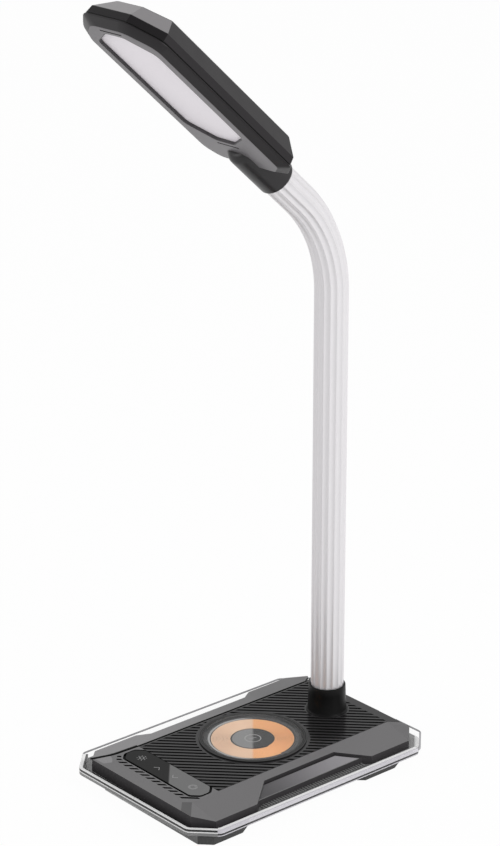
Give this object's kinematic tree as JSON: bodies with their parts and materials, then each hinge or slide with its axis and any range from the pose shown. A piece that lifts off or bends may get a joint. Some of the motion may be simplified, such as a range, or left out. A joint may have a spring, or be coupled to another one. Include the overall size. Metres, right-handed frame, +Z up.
{
  "type": "desk lamp",
  "caption": "Desk lamp: flat lit head on a fluted flexible neck, over a low base with a touch strip and a round wireless charging pad.",
  "frame": {"origin": "on the table, straight below the centre of the charging coil", "axes": "+Z up, the head and touch strip face -Y, the neck stands at +Y"},
  "size_m": [0.119, 0.1801, 0.4412],
  "materials": {
    "tray_clear": "clear, polished",
    "cover_black": "fine matt grain",
    "weight_steel": "raw plate",
    "foot_rubber": "matt",
    "screw_steel": "plain",
    "frame_black": "fine matt grain",
    "panel_dark": "satin, slanted grooves",
    "wing_grey": "satin metallic grey",
    "plate_grey": "satin metallic grey",
    "grip_dark": "satin",
    "touch_gloss": "polished",
    "board_green": "solder mask",
    "ring_black": "polished",
    "window_clear": "clear, polished",
    "coil_copper": "enamelled copper wire",
    "hub_grey": "satin",
    "ferrite_black": "matt",
    "chip_black": "moulded",
    "inlet_steel": "plain",
    "collar_black": "satin",
    "nut_steel": "plain",
    "hose_metal": "satin",
    "sleeve_silver": "pearl silver, fluted",
    "socket_dark": "satin",
    "bezel_grey": "satin metallic grey",
    "cover_grey": "satin metallic dark grey",
    "diffuser_white": "frosted",
    "guide_clear": "clear",
    "reflector_white": "white film",
    "led_cream": "lights in white strips"
  },
  "bodies": {
    "base": {"clear_tray": "tray_clear", "under_cover": "cover_black", "weight_plate": "weight_steel", "front_foot": "foot_rubber", "front_left_foot": "foot_rubber", "rear_left_foot": "foot_rubber", "rear_right_foot": "foot_rubber", "base_screws": "screw_steel", "deck_frame": "frame_black", "ribbed_panel": "panel_dark", "left_wing": "wing_grey", "front_wing": "wing_grey", "side_plate": "plate_grey", "side_grips": "grip_dark", "touch_strip": "touch_gloss", "touch_board": "board_green", "coil_ring": "ring_black", "coil_window": "window_clear", "charging_coil": "coil_copper", "coil_hub": "hub_grey", "ferrite_disc": "ferrite_black", "charger_board": "board_green", "board_chips": "chip_black", "usb_inlet": "inlet_steel", "neck_collar": "collar_black", "neck_nut": "nut_steel", "hose_1": "hose_metal", "sleeve_1": "sleeve_silver"},
    "link_2": {"hose_2": "hose_metal", "sleeve_2": "sleeve_silver"},
    "link_3": {"hose_3": "hose_metal", "sleeve_3": "sleeve_silver"},
    "link_4": {"hose_4": "hose_metal", "sleeve_4": "sleeve_silver"},
    "link_5": {"hose_5": "hose_metal", "sleeve_5": "sleeve_silver"},
    "link_6": {"hose_6": "hose_metal", "sleeve_6": "sleeve_silver"},
    "link_7": {"hose_7": "hose_metal", "sleeve_7": "sleeve_silver"},
    "head": {"hose_8": "hose_metal", "sleeve_8": "sleeve_silver", "head_socket": "socket_dark", "head_bezel": "bezel_grey", "head_cover": "cover_grey", "diffuser": "diffuser_white", "light_guide": "guide_clear", "reflector_sheet": "reflector_white", "led_strips": "led_cream", "led_chips": "led_cream", "head_screws": "screw_steel"}
  },
  "joints": [
    {"name": "neck_sway", "type": "hinge", "parent": "base", "child": "link_2", "pos_m": [0, 0.0564, 0.06], "axis": [0, 1, 0], "range_deg": [-12, 12]},
    {"name": "neck_bend", "type": "hinge", "parent": "link_2", "child": "link_3", "pos_m": [0, 0.0564, 0.095], "axis": [1, 0, 0], "range_deg": [-11, 11]},
    {"name": "sway_2", "type": "hinge", "parent": "link_3", "child": "link_4", "pos_m": [0, 0.0564, 0.13], "axis": [0, 1, 0], "range_deg": [-12, 12]},
    {"name": "bend_2", "type": "hinge", "parent": "link_4", "child": "link_5", "pos_m": [0, 0.0564, 0.165], "axis": [1, 0, 0], "range_deg": [-11, 11]},
    {"name": "sway_3", "type": "hinge", "parent": "link_5", "child": "link_6", "pos_m": [0, 0.0564, 0.2], "axis": [0, 1, 0], "range_deg": [-12, 12]},
    {"name": "bend_3", "type": "hinge", "parent": "link_6", "child": "link_7", "pos_m": [0, 0.0564, 0.235], "axis": [1, 0, 0], "range_deg": [-11, 11]},
    {"name": "bend_4", "type": "hinge", "parent": "link_7", "child": "head", "pos_m": [0, 0.04989, 0.29767], "axis": [1, 0, 0], "range_deg": [-11, 11]}
  ],
  "couplings": [
    {"joint": "bend_2", "follows": "neck_bend", "ratio": 1},
    {"joint": "bend_3", "follows": "neck_bend", "ratio": 1},
    {"joint": "bend_4", "follows": "neck_bend", "ratio": 1},
    {"joint": "sway_2", "follows": "neck_sway", "ratio": 1},
    {"joint": "sway_3", "follows": "neck_sway", "ratio": 1}
  ]
}
